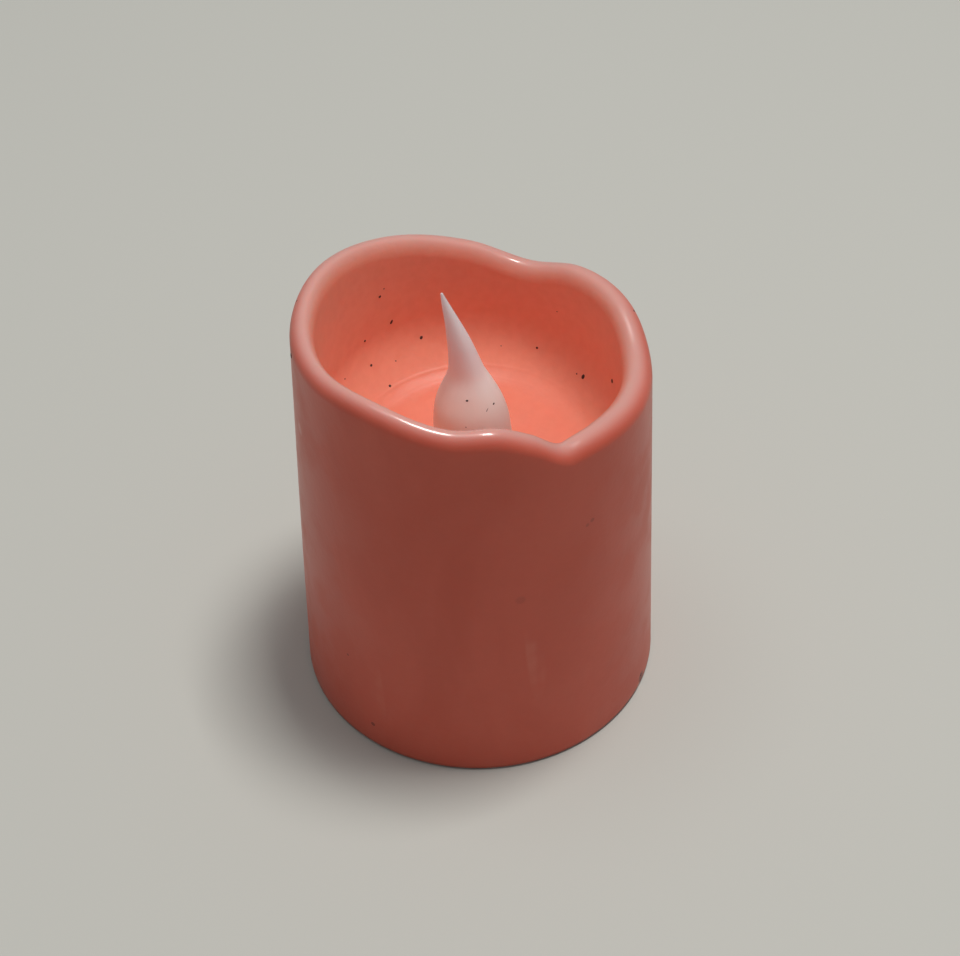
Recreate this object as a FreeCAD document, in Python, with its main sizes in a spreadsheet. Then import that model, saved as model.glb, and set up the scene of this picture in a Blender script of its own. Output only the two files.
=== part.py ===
import FreeCAD, Part
import math
import os
import re

import Sketcher
from FreeCAD import Rotation, Vector

# Battery votive candle: a plastic shell with a wavy, melted-looking rim and a bowl, a white flame lens over
# an LED, and below the bowl a base cover with circuit board, slide switch, coin cell and coin-turn door.
# Origin: centre of the bottom. +Z is up, +X right and -Y towards the viewer. All lengths are millimetres.

os.makedirs("parts", exist_ok=True)
doc = FreeCAD.newDocument("flameless_candle")

# ---------------------------------------------------------------- driving dimensions
driving = {
    # shell
    "base_radius": 19.05,
    "draft": 0.01611,            # the wall leans in by this much for each millimetre of height
    "blank_top": 54.0,
    "skirt_wall": 1.9,
    "lip_wall": 2.5,
    "lip_round": 1.15,
    "foot_round": 0.4,
    "floor_top": 28.6,
    "floor_wall": 1.8,
    "bowl_round": 4.5,
    "bowl_draw": 0.3,            # how much narrower the bowl is at its floor than at its lip
    "lens_hole_radius": 4.2,
    "collar_radius": 6.6,
    "collar_drop": 0.9,
    "rib_length": 1.1,
    "rib_wall": 1.2,
    "rib_bite": 0.3,             # how far a rib or flat reaches into the wall it stands on
    "groove_low": 4.0,
    "groove_height": 1.2,
    "groove_depth": 0.25,
    # flame lens
    "lens_flange_radius": 6.2,
    "lens_flange_low": 24.6,
    "lens_flange_wall": 1.2,
    "lens_neck_radius": 4.05,
    "lens_bore_radius": 3.1,
    "lens_bore_top": 34.0,
    # LED and its tower
    "bulb_radius": 2.5,
    "bulb_rim_radius": 2.9,
    "bulb_low": 22.4,
    "bulb_rim_wall": 1.0,
    "bulb_height": 8.7,
    "bulb_flat_depth": 0.4,
    "lead_width": 0.5,
    "lead_offset": 1.27,
    "lead_low": 8.7,
    "tower_bore_radius": 3.2,
    "tower_radius": 4.4,
    "tower_foot_radius": 5.6,
    "tower_foot_wall": 1.2,
    "peg_radius": 0.7,
    "peg_offset": 4.7,
    "peg_reach": 0.4,
    # circuit board
    "board_low": 9.4,
    "board_wall": 1.0,
    "board_radius": 15.6,
    "screw_offset": 12.6,
    "screw_radius": 0.8,
    "screw_low": 5.0,
    "screw_head_radius": 1.6,
    "screw_head_wall": 1.1,
    "screw_cross_length": 1.8,
    "screw_cross_width": 0.4,
    "hole_gap": 0.1,
    "blob_x": -3.0,
    "blob_y": -9.2,
    "blob_spread": 2.4,
    "blob_height": 1.0,
    "chip_x": 5.0,
    "chip_y": -9.6,
    "chip_length": 2.4,
    "chip_width": 1.5,
    "chip_height": 0.55,
    "chip_cap": 0.4,
    "chip_cap_proud": 0.05,
    "solder_height": 0.6,
    "solder_spread": 0.15,
    # base cover
    "cover_low": 0.8,
    "cover_wall": 1.6,
    "cover_radius": 16.95,
    "cover_rim_wall": 1.15,
    "cover_rim_top": 6.0,
    "bead_height": 0.2,
    "boss_radius": 2.2,
    # battery bay, door and cell
    "bay_x": 3.2,
    "bay_radius": 10.4,
    "bay_wall": 1.2,
    "bay_top": 7.4,
    "bay_roof": 1.0,
    "track_radius": 12.4,
    "track_low": 2.0,
    "track_top": 3.1,
    "track_cover": 0.8,
    "track_edge": 1.0,
    "door_radius": 10.8,
    "door_hole_radius": 11.0,
    "door_top": 2.9,
    "lug_radius": 12.1,
    "lug_low": 2.1,
    "lug_angle": 30.0,
    "lug_play": 1.0,
    "door_turn": 45.0,
    "coin_slot_width": 1.8,
    "coin_slot_length": 15.0,
    "coin_slot_depth": 1.0,
    "cell_low": 3.1,
    "cell_height": 3.2,
    "cell_radius": 10.0,
    "can_wall": 0.25,
    "cap_radius": 8.6,
    "cell_edge_round": 0.2,
    "crimp_drop": 0.25,
    # slide switch
    "switch_x": -12.5,
    "switch_travel": 2.0,
    "frame_low": 5.8,
    "frame_width": 3.7,
    "frame_length": 8.6,
    "frame_wall": 0.25,
    "wafer_low": 8.45,
    "pin_pitch": 2.5,
    "pin_width": 0.5,
    "pin_low": 8.25,
    "pin_top": 11.0,
    "slider_width": 2.9,
    "slider_length": 4.2,
    "slider_low": 6.15,
    "slider_top": 7.9,
    "knob_width": 1.4,
    "knob_length": 1.5,
    "knob_low": 0.95,
    "knob_play": 0.4,
    "wiper_width": 1.0,
    "wiper_wall": 0.12,
    "wiper_rise": 0.18,
    "wiper_ramp": 0.35,
    "wiper_reach": 1.9,
    "dish_width": 6.0,
    "dish_length": 9.0,
    "dish_depth": 0.8,
    # contacts
    "strip_wall": 0.3,
    "strip_width": 3.0,
    "strip_gap": 0.05,
    "touch_gap": 0.02,           # left between each contact and the cell
    "leaf_reach": 3.0,
    "leaf_lip": 1.5,
    "leaf_lift": 0.4,
    "side_tab_rise": 0.6,
}

# Height of the rim's crest at each angle about the axis, anticlockwise from +X and seen from above.
rim_crest = {
    0: 42.2, 25: 43.8, 50: 43.2, 68: 41.55, 90: 43.5, 120: 46.3, 150: 48.35, 180: 48.6,
    205: 49.2, 235: 50.3, 262: 49.05, 280: 48.75, 290: 47.0, 301: 44.3, 308: 44.2, 320: 43.8, 340: 42.8,
}
for angle, crest in rim_crest.items():
    driving[f"rim_crest_{angle}"] = crest

# Flame sections above the neck: height, radius, and how far the section's centre leans towards +X.
flame_sections = [
    (28.9, 4.05, -0.05), (31.0, 4.15, -0.08), (33.0, 4.09, -0.15), (35.0, 3.93, -0.25),
    (37.0, 3.52, -0.39), (39.0, 2.77, -0.46), (41.0, 1.96, -0.565), (43.0, 1.57, -0.82),
    (45.5, 1.19, -1.285), (48.0, 0.77, -1.86), (50.5, 0.39, -2.5), (51.7, 0.18, -2.82),
]
for number, section in enumerate(flame_sections):
    for measure, value in zip(("height", "radius", "lean"), section):
        driving[f"flame_{measure}_{number}"] = value

sheet = doc.addObject("Spreadsheet::Sheet", "sizes")
for row, (name, value) in enumerate(driving.items(), start=1):
    sheet.set(f"A{row}", name)
    sheet.set(f"B{row}", str(value))
    sheet.setAlias(f"B{row}", name)
doc.recompute()


# ---------------------------------------------------------------- helpers
def linked(text):
    """Turn the names of driving dimensions in an expression into references to the sheet."""
    return re.sub(r"[a-z]\w*", lambda word: f"sizes.{word[0]}" if word[0] in driving else word[0], text)


def bind(item, **expressions):
    """Bind properties to expressions; a double underscore in a name stands for a dot."""
    for name, text in expressions.items():
        item.setExpression(name.replace("__", "."), linked(text))
    return item


def new_body(label):
    body = doc.addObject("PartDesign::Body", label)
    body.Label = label
    return body


def new_sketch(body, plane, offset=None):
    sketch = body.newObject("Sketcher::SketchObject", "sketch")
    support = next(item for item in body.Origin.OriginFeatures if item.Role == plane)
    sketch.AttachmentSupport = [(support, "")]
    sketch.MapMode = "FlatFace"
    if offset:
        bind(sketch, AttachmentOffset__Base__z=offset)
    return sketch


def pin_point(sketch, geometry, corner, x, y):
    """Hold one point of a sketch at the coordinates that two expressions give."""
    for text, kind, axis in ((x, "DistanceX", -2), (y, "DistanceY", -1)):
        if text == "0":
            sketch.addConstraint(Sketcher.Constraint("PointOnObject", geometry, corner, axis))
            continue
        value = float(sketch.evalExpression(linked(text)))
        index = sketch.addConstraint(Sketcher.Constraint(kind, geometry, corner, value))
        sketch.setExpression(f"Constraints[{index}]", linked(text))


def polygon(sketch, corners):
    """Draw a closed polygon whose corners are pairs of expressions."""
    points = []
    for corner in corners:
        x, y = (float(sketch.evalExpression(linked(text))) for text in corner)
        points.append(Vector(x, y, 0))
    first = sketch.GeometryCount
    for start, end in zip(points, points[1:] + points[:1]):
        sketch.addGeometry(Part.LineSegment(start, end))
    for step in range(len(points)):
        following = first + (step + 1) % len(points)
        sketch.addConstraint(Sketcher.Constraint("Coincident", first + step, 2, following, 1))
    for step, corner in enumerate(corners):
        pin_point(sketch, first + step, 1, *corner)


def rectangle(sketch, x, y, width, length):
    west, east = f"{x} - ({width}) / 2", f"{x} + ({width}) / 2"
    south, north = f"{y} - ({length}) / 2", f"{y} + ({length}) / 2"
    polygon(sketch, [(west, south), (east, south), (east, north), (west, north)])


def circle(sketch, x, y, radius):
    centre = [float(sketch.evalExpression(linked(text))) for text in (x, y)]
    size = float(sketch.evalExpression(linked(radius)))
    index = sketch.addGeometry(Part.Circle(Vector(*centre, 0), Vector(0, 0, 1), size))
    pin_point(sketch, index, 3, x, y)
    limit = sketch.addConstraint(Sketcher.Constraint("Radius", index, size))
    sketch.setExpression(f"Constraints[{limit}]", linked(radius))


def revolve(body, corners):
    """Turn a profile, given as radius and height, about the body's Z axis."""
    sketch = new_sketch(body, "XZ_Plane")
    polygon(sketch, corners)
    feature = body.newObject("PartDesign::Revolution", "revolution")
    feature.Profile = sketch
    feature.ReferenceAxis = (sketch, ["V_Axis"])
    feature.Angle = 360
    doc.recompute()
    return feature


def pad(body, sketch, length):
    feature = body.newObject("PartDesign::Pad", "pad")
    feature.Profile = sketch
    bind(feature, Length=length)
    doc.recompute()
    return feature


def pocket(body, sketch, length):
    """Cut upwards from a horizontal sketch and make sure that something was removed."""
    volume = body.Shape.Volume
    feature = body.newObject("PartDesign::Pocket", "pocket")
    feature.Profile = sketch
    feature.Reversed = True
    bind(feature, Length=length)
    doc.recompute()
    assert body.Shape.Volume < volume, f"{body.Label}: pocket removed nothing"
    return feature


def round_edges(body, feature, radius, wanted):
    fillet = body.newObject("PartDesign::Fillet", "fillet")
    fillet.Base = (feature, [f"Edge{i}" for i, edge in enumerate(feature.Shape.Edges, start=1) if wanted(edge)])
    bind(fillet, Radius=radius)
    doc.recompute()
    return fillet


def ring_at(height, radius):
    """Test for a circular edge about the Z axis at a height and near a radius."""
    def test(edge):
        middle = edge.CenterOfMass
        reach = math.hypot(edge.Vertexes[0].X, edge.Vertexes[0].Y)
        centred = math.hypot(middle.x, middle.y) < 0.01
        return centred and abs(middle.z - height) < 0.01 and abs(reach - radius) < 0.3
    return test


def cylinder(name, radius, low, height, x="0", y="0", angle=None, start=None):
    """An upright cylinder, or a pie slice of one that begins at an angle from +X."""
    item = doc.addObject("Part::Cylinder", name)
    bind(item, Radius=radius, Height=height)
    bind(item, Placement__Base__x=x, Placement__Base__y=y, Placement__Base__z=low)
    if angle:
        item.Placement.Rotation = Rotation(Vector(0, 0, 1), 1)
        bind(item, Angle=angle, Placement__Rotation__Angle=start)
    return item


def box(name, x, y, low, width, length, height):
    """A box centred on x and y."""
    item = doc.addObject("Part::Box", name)
    bind(item, Length=width, Width=length, Height=height)
    bind(item, Placement__Base__x=f"{x} - ({width}) / 2", Placement__Base__y=f"{y} - ({length}) / 2")
    bind(item, Placement__Base__z=low)
    return item


def fuse(name, items):
    item = doc.addObject("Part::MultiFuse", name)
    item.Shapes = items
    return item


def cut(name, base, tool):
    item = doc.addObject("Part::Cut", name)
    item.Base = base
    item.Tool = tool
    return item


def group(name, items):
    item = doc.addObject("Part::Compound", name)
    item.Links = items
    return item


# ---------------------------------------------------------------- outer shell
def wall_radius(height, wall="0"):
    return f"base_radius - draft * ({height}) - ({wall})"


def make_shell():
    body = new_body("shell_blank")
    floor_low = "floor_top - floor_wall"
    blank = revolve(body, [
        (wall_radius("0", "skirt_wall"), "0"),
        (wall_radius("0"), "0"),
        (wall_radius("blank_top"), "blank_top"),
        (wall_radius("blank_top", "lip_wall"), "blank_top"),
        (wall_radius("floor_top", "lip_wall + bowl_draw"), "floor_top"),
        ("lens_hole_radius", "floor_top"),
        ("lens_hole_radius", f"{floor_low} - collar_drop"),
        ("collar_radius", f"{floor_low} - collar_drop"),
        ("collar_radius", floor_low),
        (wall_radius(floor_low, "skirt_wall"), floor_low),
        (wall_radius("groove_low + groove_height", "skirt_wall"), "groove_low + groove_height"),
        (wall_radius("groove_low + groove_height", "skirt_wall - groove_depth"), "groove_low + groove_height"),
        (wall_radius("groove_low", "skirt_wall - groove_depth"), "groove_low"),
        (wall_radius("groove_low", "skirt_wall"), "groove_low"),
    ])
    floor_top = driving["floor_top"]
    bowl_edge = float(body.evalExpression(linked(wall_radius("floor_top", "lip_wall + bowl_draw"))))
    rounded = round_edges(body, blank, "bowl_round", ring_at(floor_top, bowl_edge))
    rounded = round_edges(body, rounded, "foot_round", ring_at(0.0, driving["base_radius"]))

    rib = new_sketch(body, "XY_Plane", "cover_rim_top")
    outer = wall_radius("cover_rim_top", "skirt_wall - rib_bite")
    rectangle(rib, f"{outer} - rib_length / 2", "0", "rib_length", "rib_wall")
    ribs = pad(body, rib, f"{floor_low} - cover_rim_top")
    pattern = body.newObject("PartDesign::PolarPattern", "ribs")
    pattern.Originals = [ribs]
    pattern.Axis = (rib, ["N_Axis"])
    pattern.Angle = 360
    pattern.Occurrences = 4
    body.Tip = pattern
    doc.recompute()

    # The wavy cut: a band between two closed curves of the same height, lifted clear of the blank.
    curves = []
    for reach in (0.6 * driving["base_radius"], 1.2 * driving["base_radius"]):
        points = [
            Vector(
                reach * math.cos(math.radians(angle)),
                reach * math.sin(math.radians(angle)),
                sheet.get(f"rim_crest_{angle}"),
            )
            for angle in rim_crest
        ]
        curve = Part.BSplineCurve()
        curve.interpolate(Points=points, PeriodicFlag=True)
        curves.append(curve.toShape())
    wave = doc.addObject("Part::Feature", "rim_wave")
    wave.Shape = Part.makeRuledSurface(*curves).extrude(Vector(0, 0, driving["blank_top"]))
    trimmed = cut("trimmed_shell", body, wave)
    doc.recompute()
    lip_edges = []
    for index, edge in enumerate(trimmed.Shape.Edges, start=1):
        if edge.BoundBox.ZMin > min(rim_crest.values()) - 1 and edge.BoundBox.ZMax > max(rim_crest.values()) - 1:
            lip_edges.append((index, driving["lip_round"], driving["lip_round"]))
    shell = doc.addObject("Part::Fillet", "outer_shell")
    shell.Base = trimmed
    shell.Edges = lip_edges
    doc.recompute()
    return shell


# ---------------------------------------------------------------- flame lens
def make_lens():
    """Lofted flame on a neck and a flange, with a bore for the LED that ends in a dome."""
    sections = []
    for number in range(len(flame_sections)):
        section = doc.addObject("Part::Circle", "flame_section")
        bind(section, Radius=f"flame_radius_{number}")
        bind(section, Placement__Base__x=f"flame_lean_{number}", Placement__Base__z=f"flame_height_{number}")
        sections.append(section)
    flame = doc.addObject("Part::Loft", "flame")
    flame.Sections = sections
    flame.Solid = True
    neck = cylinder("lens_neck", "lens_neck_radius", "lens_flange_low", "flame_height_0 - lens_flange_low")
    flange = cylinder("lens_flange", "lens_flange_radius", "lens_flange_low", "lens_flange_wall")
    bore = cylinder("lens_bore", "lens_bore_radius", "lens_flange_low", "lens_bore_top - lens_flange_low")
    dome = doc.addObject("Part::Sphere", "lens_dome")
    bind(dome, Radius="lens_bore_radius", Placement__Base__z="lens_bore_top")
    return cut("flame_lens", fuse("lens_solid", [flame, neck, flange]), fuse("lens_hollow", [bore, dome]))


# ---------------------------------------------------------------- LED, spacer and tower
board_top = "board_low + board_wall"


def make_bulb():
    """Five millimetre LED: rim, barrel and dome turned as one, with the flat that marks the cathode."""
    body = new_body("led_bulb")
    turned = revolve(body, [
        ("0", "bulb_low"),
        ("bulb_rim_radius", "bulb_low"),
        ("bulb_rim_radius", "bulb_low + bulb_rim_wall"),
        ("bulb_radius", "bulb_low + bulb_rim_wall"),
        ("bulb_radius", "bulb_low + bulb_height"),
        ("0", "bulb_low + bulb_height"),
    ])
    top = driving["bulb_low"] + driving["bulb_height"]
    round_edges(body, turned, "bulb_radius - 0.02", ring_at(top, driving["bulb_radius"]))
    flat = new_sketch(body, "XY_Plane", "bulb_low")
    flat_x = "-bulb_rim_radius"
    rectangle(flat, flat_x, "0", "2 * bulb_flat_depth", "2 * bulb_rim_radius")
    pocket(body, flat, "bulb_rim_wall")
    return body


def make_lead(label, side):
    height = "bulb_low - lead_low"
    return box(label, f"{side} * lead_offset", "0", "lead_low", "lead_width", "lead_width", height)


def make_spacer():
    """Sleeve that holds the LED up from the board, with a square hole for each lead."""
    body = new_body("led_spacer")
    outline = new_sketch(body, "XY_Plane", board_top)
    circle(outline, "0", "0", "bulb_rim_radius")
    for side in (-1, 1):
        rectangle(outline, f"{side} * lead_offset", "0", "lead_width + hole_gap", "lead_width + hole_gap")
    pad(body, outline, f"bulb_low - ({board_top})")
    return body


def make_tower():
    """Tube on the board that carries the lens flange, with two pegs through the board."""
    body = new_body("light_tower")
    foot_top = f"{board_top} + tower_foot_wall"
    seat_low = "lens_flange_low - tower_foot_wall"
    revolve(body, [
        ("tower_bore_radius", board_top),
        ("tower_foot_radius", board_top),
        ("tower_foot_radius", foot_top),
        ("tower_radius", foot_top),
        ("tower_radius", seat_low),
        ("collar_radius", seat_low),
        ("collar_radius", "lens_flange_low"),
        ("tower_bore_radius", "lens_flange_low"),
    ])
    pegs = new_sketch(body, "XY_Plane", "board_low - peg_reach")
    for side in (-1, 1):
        circle(pegs, "0", f"{side} * peg_offset", "peg_radius")
    pad(body, pegs, "board_wall + peg_reach + tower_foot_wall / 2")
    return body


# ---------------------------------------------------------------- circuit board and what it carries
tab_x = "bay_x - bay_radius + 0.6"
side_tab_y = "cell_radius + strip_gap + strip_wall / 2"


def make_board():
    body = new_body("circuit_board")
    outline = new_sketch(body, "XY_Plane", "board_low")
    circle(outline, "0", "0", "board_radius")
    for side in (-1, 1):
        circle(outline, "0", f"{side} * screw_offset", "screw_radius + hole_gap")
        circle(outline, "0", f"{side} * peg_offset", "peg_radius + hole_gap / 2")
        circle(outline, f"{side} * lead_offset", "0", "lead_width / 2 + 2 * hole_gap")
    for step in (-1, 0, 1):
        circle(outline, "switch_x", f"{step} * pin_pitch", "pin_width / 2 + 2 * hole_gap")
    rectangle(outline, tab_x, "0", "strip_wall + 2 * hole_gap", "strip_width + 2 * hole_gap")
    rectangle(outline, "bay_x", side_tab_y, "strip_width + 2 * hole_gap", "strip_wall + 2 * hole_gap")
    pad(body, outline, "board_wall")
    return body


def make_chip_blob():
    """Drop of black resin over the timer chip: a cap of a sphere."""
    radius = "(blob_spread ^ 2 + blob_height ^ 2) / (2 * blob_height)"
    ball = doc.addObject("Part::Sphere", "blob_ball")
    bind(ball, Radius=radius, Placement__Base__x="blob_x", Placement__Base__y="blob_y")
    bind(ball, Placement__Base__z=f"{board_top} + blob_height - {radius}")
    width = "4 * blob_spread"
    above = box("blob_space", "blob_x", "blob_y", board_top, width, width, "2 * blob_height")
    blob = doc.addObject("Part::Common", "controller_blob")
    blob.Base = ball
    blob.Tool = above
    return blob


def make_resistor():
    """Surface-mounted resistor: a ceramic block between two slightly larger solder caps."""
    parts = [box("resistor_block", "chip_x", "chip_y", board_top, "chip_length", "chip_width", "chip_height")]
    for side in (-1, 1):
        place = f"chip_x + {side} * (chip_length + chip_cap) / 2"
        width = "chip_width + 2 * chip_cap_proud"
        height = "chip_height + chip_cap_proud"
        parts.append(box("resistor_end", place, "chip_y", board_top, "chip_cap", width, height))
    return fuse("chip_resistor", parts)


def make_screws():
    body = new_body("board_screw")
    turned = revolve(body, [
        ("0", "screw_low - screw_radius"),
        ("screw_radius", "screw_low"),
        ("screw_radius", board_top),
        ("screw_head_radius", board_top),
        ("screw_head_radius", f"{board_top} + screw_head_wall"),
        ("0", f"{board_top} + screw_head_wall"),
    ])
    top = driving["board_low"] + driving["board_wall"] + driving["screw_head_wall"]
    round_edges(body, turned, "screw_head_wall / 2", ring_at(top, driving["screw_head_radius"]))
    for sides in (("screw_cross_length", "screw_cross_width"), ("screw_cross_width", "screw_cross_length")):
        cross = new_sketch(body, "XY_Plane", f"{board_top} + screw_head_wall / 2")
        rectangle(cross, "0", "0", *sides)
        pocket(body, cross, "screw_head_wall")
    bind(body, Placement__Base__y="screw_offset")
    other = doc.addObject("Part::Mirroring", "other_screw")
    other.Source = body
    other.Normal = Vector(0, 1, 0)
    return group("board_screws", [body, other])


def make_solder(leads, pins):
    """Small cones of solder: under the board on the LED's leads, on top of it on the switch's pins."""
    cones = []
    for side in (-1, 1):
        cone = doc.addObject("Part::Cone", "lead_solder")
        bind(cone, Radius1="lead_width / 2 + solder_spread", Radius2="lead_width", Height="solder_height")
        bind(cone, Placement__Base__x=f"{side} * lead_offset", Placement__Base__z="board_low - solder_height")
        cones.append(cone)
    for step in (-1, 0, 1):
        cone = doc.addObject("Part::Cone", "pin_solder")
        bind(cone, Radius1="pin_width + hole_gap", Radius2="pin_width / 2 + solder_spread", Height="solder_height")
        bind(cone, Placement__Base__x="switch_x", Placement__Base__y=f"{step} * pin_pitch")
        bind(cone, Placement__Base__z=board_top)
        cones.append(cone)
    return cut("solder_joints", group("solder_cones", cones), group("soldered_wires", [*leads, pins]))


# ---------------------------------------------------------------- slide switch
def make_switch_frame():
    """Steel box that opens towards the board, with a slot below for the knob to slide in."""
    body = new_body("switch_frame")
    outline = new_sketch(body, "XY_Plane", "frame_low")
    rectangle(outline, "switch_x", "0", "frame_width", "frame_length")
    pad(body, outline, "board_low - frame_low")
    hollow = new_sketch(body, "XY_Plane", "frame_low + frame_wall")
    rectangle(hollow, "switch_x", "0", "frame_width - 2 * frame_wall", "frame_length - 2 * frame_wall")
    pocket(body, hollow, "board_low - frame_low")
    slot = new_sketch(body, "XY_Plane", "frame_low - frame_wall")
    rectangle(slot, "switch_x", "0", "knob_width + knob_play", "knob_length + switch_travel + knob_play")
    pocket(body, slot, "3 * frame_wall")
    return body


def make_switch_wafer():
    body = new_body("switch_wafer")
    outline = new_sketch(body, "XY_Plane", "wafer_low")
    rectangle(outline, "switch_x", "0", "frame_width - 2 * frame_wall", "frame_length - 2 * frame_wall")
    for step in (-1, 0, 1):
        rectangle(outline, "switch_x", f"{step} * pin_pitch", "pin_width", "pin_width")
    pad(body, outline, "board_low - wafer_low")
    return body


def make_switch_pins():
    pins = [
        box("switch_pin", "switch_x", f"{step} * pin_pitch", "pin_low", "pin_width", "pin_width", "pin_top - pin_low")
        for step in (-1, 0, 1)
    ]
    return group("switch_pins", pins)


def make_switch_slider():
    """Slider block inside the frame and the knob below it, at rest at the end of travel towards -Y."""
    body = new_body("switch_slider")
    rest_y = "-switch_travel / 2"
    block = new_sketch(body, "XY_Plane", "slider_low")
    rectangle(block, "switch_x", rest_y, "slider_width", "slider_length")
    pad(body, block, "slider_top - slider_low")
    knob = new_sketch(body, "XY_Plane", "knob_low")
    rectangle(knob, "switch_x", rest_y, "knob_width", "knob_length")
    pad(body, knob, "slider_low - knob_low")
    return body


def make_switch_wiper():
    """Spring strip on the slider, arched in two places so that it bridges two pins."""
    body = new_body("switch_wiper")
    profile = new_sketch(body, "YZ_Plane", "switch_x - wiper_width / 2")
    flat = "slider_top + wiper_wall"
    raised = f"{flat} + wiper_rise"
    arch = [
        ("wiper_reach", flat),
        ("wiper_reach - wiper_ramp", raised),
        ("wiper_reach - 2 * wiper_ramp", raised),
        ("wiper_reach - 3 * wiper_ramp", flat),
    ]
    corners = [("-wiper_reach", "slider_top"), ("wiper_reach", "slider_top"), *arch]
    corners += [(f"-({reach})", height) for reach, height in reversed(arch)]
    polygon(profile, [(f"{reach} - switch_travel / 2", height) for reach, height in corners])
    pad(body, profile, "wiper_width")
    return body


# ---------------------------------------------------------------- coin cell and its contacts
cell_top = "cell_low + cell_height"


def make_cell():
    """Coin cell in three pieces: flat can below, sealing ring, and the smaller cap above."""
    can_inner = "cell_radius - can_wall"
    can = new_body("cell_can")
    turned = revolve(can, [
        ("0", "cell_low"),
        ("cell_radius", "cell_low"),
        ("cell_radius", f"{cell_top} - crimp_drop"),
        (can_inner, f"{cell_top} - crimp_drop"),
        (can_inner, "cell_low + can_wall"),
        ("0", "cell_low + can_wall"),
    ])
    round_edges(can, turned, "cell_edge_round", ring_at(driving["cell_low"], driving["cell_radius"]))
    gasket = new_body("cell_gasket")
    revolve(gasket, [
        ("cap_radius", "cell_low + can_wall"),
        (can_inner, "cell_low + can_wall"),
        (can_inner, f"{cell_top} - crimp_drop"),
        ("cap_radius", f"{cell_top} - crimp_drop / 2"),
    ])
    cap = new_body("cell_cap")
    turned = revolve(cap, [
        ("0", "cell_low + can_wall"),
        ("cap_radius", "cell_low + can_wall"),
        ("cap_radius", cell_top),
        ("0", cell_top),
    ])
    top = driving["cell_low"] + driving["cell_height"]
    round_edges(cap, turned, "cell_edge_round", ring_at(top, driving["cap_radius"]))
    for body in (can, gasket, cap):
        bind(body, Placement__Base__x="bay_x")
    return [can, gasket, cap]


def make_negative_contact():
    """Leaf spring under the bay's roof: it dips to the cell's cap and has a tab up through the board."""
    body = new_body("negative_contact")
    profile = new_sketch(body, "XZ_Plane", "-strip_width / 2")
    tab_left, tab_right = f"{tab_x} - strip_wall / 2", f"{tab_x} + strip_wall / 2"
    polygon(profile, [
        (tab_left, "bay_top - strip_wall"),
        (tab_left, "pin_top"),
        (tab_right, "pin_top"),
        (tab_right, "bay_top"),
        ("bay_x - leaf_reach", "bay_top"),
        ("bay_x", f"{cell_top} + touch_gap + strip_wall"),
        ("bay_x + leaf_lip", f"{cell_top} + leaf_lift + strip_wall"),
        ("bay_x + leaf_lip", f"{cell_top} + leaf_lift"),
        ("bay_x", f"{cell_top} + touch_gap"),
        ("bay_x - leaf_reach", "bay_top - strip_wall"),
    ])
    pad(body, profile, "strip_width")
    return body


def make_positive_contact():
    """Flat strip beside the cell's can with a tab up through the board."""
    low = "cell_low + side_tab_rise"
    height = f"pin_top - ({low})"
    return box("positive_contact", "bay_x", side_tab_y, low, "strip_width", "strip_wall", height)


# ---------------------------------------------------------------- base cover and battery door
lug_starts = [100 + 120 * index for index in range(3)]


def make_cover():
    """Bottom moulding: disc with a rim, battery bay with its bayonet track, bosses and the switch's slot."""
    disc_top = "cover_low + cover_wall"
    collar_top = "track_top + track_cover"
    plate = cylinder("cover_plate", "cover_radius", "cover_low", "cover_rim_top - cover_low")
    dish = cylinder("cover_dish", "cover_radius - cover_rim_wall", disc_top, "cover_rim_top")
    bay = cylinder("bay", "bay_radius + bay_wall", "cover_low", "bay_top + bay_roof - cover_low", x="bay_x")
    collar = cylinder("collar", "track_radius + track_edge", "cover_low", f"{collar_top} - cover_low", x="bay_x")
    slot_width = "knob_width + 2 * knob_play"
    slot_length = "knob_length + switch_travel + 2 * knob_play"
    strip_hole_width = "strip_width + 4 * hole_gap"
    strip_hole_wall = "strip_wall + 4 * hole_gap"
    bead = doc.addObject("Part::Torus", "snap_bead")
    bind(bead, Radius1="cover_radius - bead_height", Radius2="2 * bead_height")
    bind(bead, Placement__Base__z="groove_low + groove_height / 2")
    solids = [cut("cover_tray", plate, dish), bay, collar, bead]
    tools = [
        cylinder("bay_space", "bay_radius", "track_low", "bay_top - track_low", x="bay_x"),
        cylinder("door_hole", "door_hole_radius", "0", "track_top", x="bay_x"),
        box("knob_slot", "switch_x", "0", "0", slot_width, slot_length, "slider_low"),
        box("knob_dish", "switch_x", "0", "0", "dish_width", "dish_length", "cover_low + dish_depth"),
        box("leaf_slot", tab_x, "0", "bay_top - strip_wall", strip_hole_wall, strip_hole_width, "board_low"),
        box("side_slot", "bay_x", side_tab_y, "cell_low + strip_gap", strip_hole_width, strip_hole_wall, "board_low"),
    ]
    for side in (-1, 1):
        place = f"{side} * screw_offset"
        solids.append(cylinder("boss", "boss_radius", "cover_low", "board_low - cover_low", y=place))
        tools.append(cylinder("pilot_hole", "screw_radius", "screw_low - 1", "board_low", y=place))
    for start in lug_starts:
        track_start = f"{start} - door_turn - lug_play"
        track_angle = "lug_angle + door_turn + 2 * lug_play"
        entry_angle = "lug_angle + 2 * lug_play"
        height = "track_top - track_low"
        tools.append(cylinder("track", "track_radius", "track_low", height, "bay_x", "0", track_angle, track_start))
        tools.append(cylinder("entry", "track_radius", "0", "track_top", "bay_x", "0", entry_angle, track_start))
    return cut("base_cover", fuse("cover_solid", solids), fuse("cover_spaces", tools))


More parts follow.
